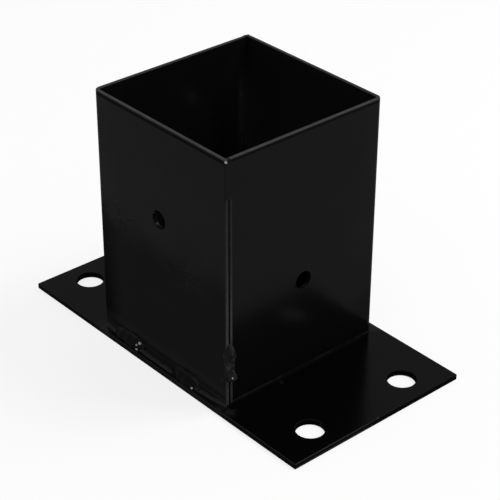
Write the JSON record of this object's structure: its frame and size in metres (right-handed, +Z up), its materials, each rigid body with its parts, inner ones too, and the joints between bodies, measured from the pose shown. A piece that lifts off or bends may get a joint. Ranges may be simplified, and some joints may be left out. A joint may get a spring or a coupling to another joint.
{
  "type": "timber post base",
  "caption": "Bolt-down steel base for a square timber post: an open-topped square sleeve with screw holes, welded on a flat plate with bolt holes at both ends.",
  "frame": {"origin": "middle of the plate's underside", "axes": "+X along the plate's long side, +Y across it, +Z up along the post"},
  "size_m": [0.2, 0.106, 0.133],
  "materials": {
    "plate_paint": "gloss",
    "sleeve_paint": "gloss",
    "weld_paint": "gloss"
  },
  "bodies": {
    "root": {"base_plate": "plate_paint", "sleeve_angle_left": "sleeve_paint", "sleeve_angle_right": "sleeve_paint", "seam_weld_front_top": "weld_paint", "seam_weld_front_bottom": "weld_paint", "seam_weld_back_top": "weld_paint", "seam_weld_back_bottom": "weld_paint", "foot_weld_front_left": "weld_paint", "foot_weld_front_right": "weld_paint", "foot_weld_back_left": "weld_paint", "foot_weld_back_right": "weld_paint"}
  },
  "joints": []
}
